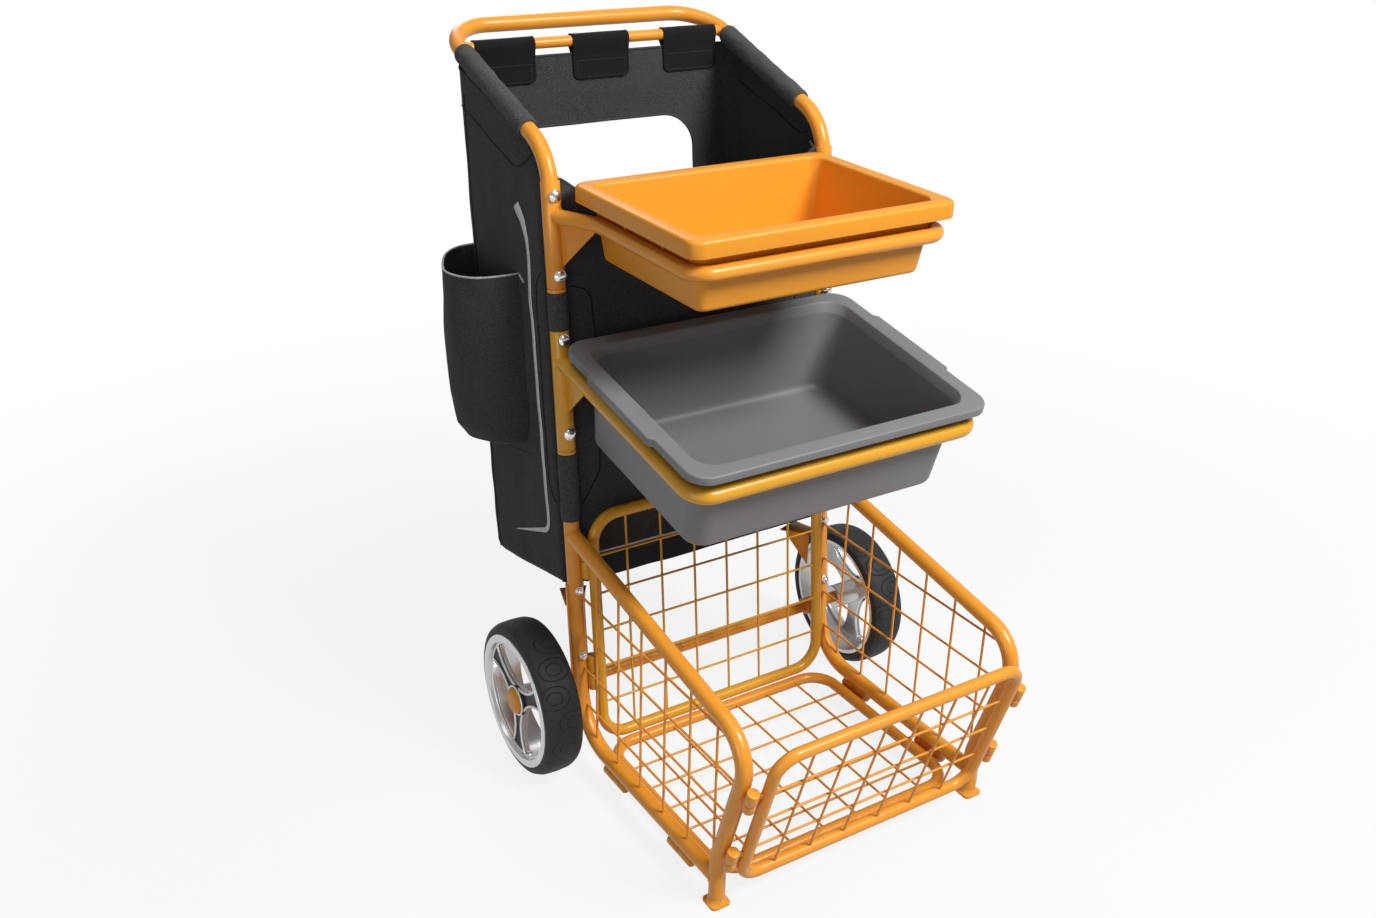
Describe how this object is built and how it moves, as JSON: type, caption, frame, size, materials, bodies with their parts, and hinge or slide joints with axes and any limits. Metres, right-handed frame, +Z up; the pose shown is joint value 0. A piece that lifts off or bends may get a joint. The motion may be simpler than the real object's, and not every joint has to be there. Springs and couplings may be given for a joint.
{
  "type": "ball trolley",
  "caption": "Upright tube-frame equipment trolley with a front wire basket and lift-off gate, lift-out trays, a hanging fabric bag and rear wheels.",
  "frame": {"origin": "centre of the overall box on the floor", "axes": "+Z up, -Y towards the front gate, +Y towards the push handle, +X to the right as seen from the front"},
  "size_m": [0.724, 0.9759, 1.1333],
  "materials": {
    "orange_paint": "glossy powder coat",
    "ochre_paint": "glossy powder coat",
    "orange_plastic": "smooth",
    "grey_plastic": "satin",
    "silver_plastic": "silver paint",
    "bright_steel": "zinc plated",
    "tyre": "moulded tread",
    "charcoal_fabric": "woven",
    "sleeve_fabric": "woven",
    "black_fabric": "webbing"
  },
  "bodies": {
    "frame": {"axle_rod": "bright_steel", "axle_tube": "orange_paint", "back_panel_frame": "ochre_paint", "back_panel_grid": "ochre_paint", "bag": "charcoal_fabric", "bottle_pocket": "charcoal_fabric", "cross_bar": "orange_paint", "floor_panel_frame": "orange_paint", "floor_panel_grid": "orange_paint", "handle_hoop": "orange_paint", "left_axle_bracket": "orange_paint", "left_axle_bracket_bolt_high": "bright_steel", "left_axle_bracket_bolt_low": "bright_steel", "left_bag_strap": "black_fabric", "left_corner_shelf": "orange_paint", "left_foot_plate": "orange_paint", "left_front_leg": "orange_paint", "left_gate_pin_lower": "orange_paint", "left_gate_pin_upper": "orange_paint", "left_lower_clamp_bolt_high": "bright_steel", "left_lower_clamp_bolt_low": "bright_steel", "left_lower_sleeve": "sleeve_fabric", "left_side_grid": "orange_paint", "left_slant_sleeve": "sleeve_fabric", "left_upper_clamp_bolt_high": "bright_steel", "left_upper_clamp_bolt_low": "bright_steel", "left_upper_sleeve": "sleeve_fabric", "left_upright": "orange_paint", "lower_tray_bracket": "ochre_paint", "middle_bag_strap": "black_fabric", "right_axle_bracket": "orange_paint", "right_axle_bracket_bolt_high": "bright_steel", "right_axle_bracket_bolt_low": "bright_steel", "right_bag_strap": "black_fabric", "right_corner_shelf": "orange_paint", "right_foot_plate": "orange_paint", "right_front_leg": "orange_paint", "right_gate_pin_lower": "orange_paint", "right_gate_pin_upper": "orange_paint", "right_lower_clamp_bolt_high": "bright_steel", "right_lower_clamp_bolt_low": "bright_steel", "right_lower_sleeve": "sleeve_fabric", "right_side_grid": "orange_paint", "right_slant_sleeve": "sleeve_fabric", "right_upper_clamp_bolt_high": "bright_steel", "right_upper_clamp_bolt_low": "bright_steel", "right_upper_sleeve": "sleeve_fabric", "right_upright": "orange_paint", "upper_tray_bracket": "orange_paint"},
    "wheel_left": {"left_tyre": "tyre", "left_wheel_rim": "silver_plastic", "left_hub_cap": "orange_plastic"},
    "wheel_right": {"right_tyre": "tyre", "right_wheel_rim": "silver_plastic", "right_hub_cap": "orange_plastic"},
    "gate": {"gate_frame": "orange_paint", "gate_grid": "orange_paint"},
    "top_tray": {"top_tray": "orange_plastic"},
    "lower_tub": {"lower_tub": "grey_plastic"}
  },
  "joints": [
    {"name": "left_wheel_spin", "type": "hinge", "parent": "frame", "child": "wheel_left", "pos_m": [-0.3251, 0.0545, 0.1286], "axis": [1, 0, 0], "continuous": true},
    {"name": "right_wheel_spin", "type": "hinge", "parent": "frame", "child": "wheel_right", "pos_m": [0.3251, 0.0545, 0.1286], "axis": [1, 0, 0], "continuous": true},
    {"name": "gate_lift", "type": "slide", "parent": "frame", "child": "gate", "axis": [0, -0.2917, 0.9565], "range_m": [0, 0.03]},
    {"name": "top_tray_lift", "type": "slide", "parent": "frame", "child": "top_tray", "axis": [0, -0.0113, 0.9999], "range_m": [0, 0.15]},
    {"name": "lower_tub_lift", "type": "slide", "parent": "frame", "child": "lower_tub", "axis": [0, -0.1756, 0.9845], "range_m": [0, 0.09]}
  ]
}
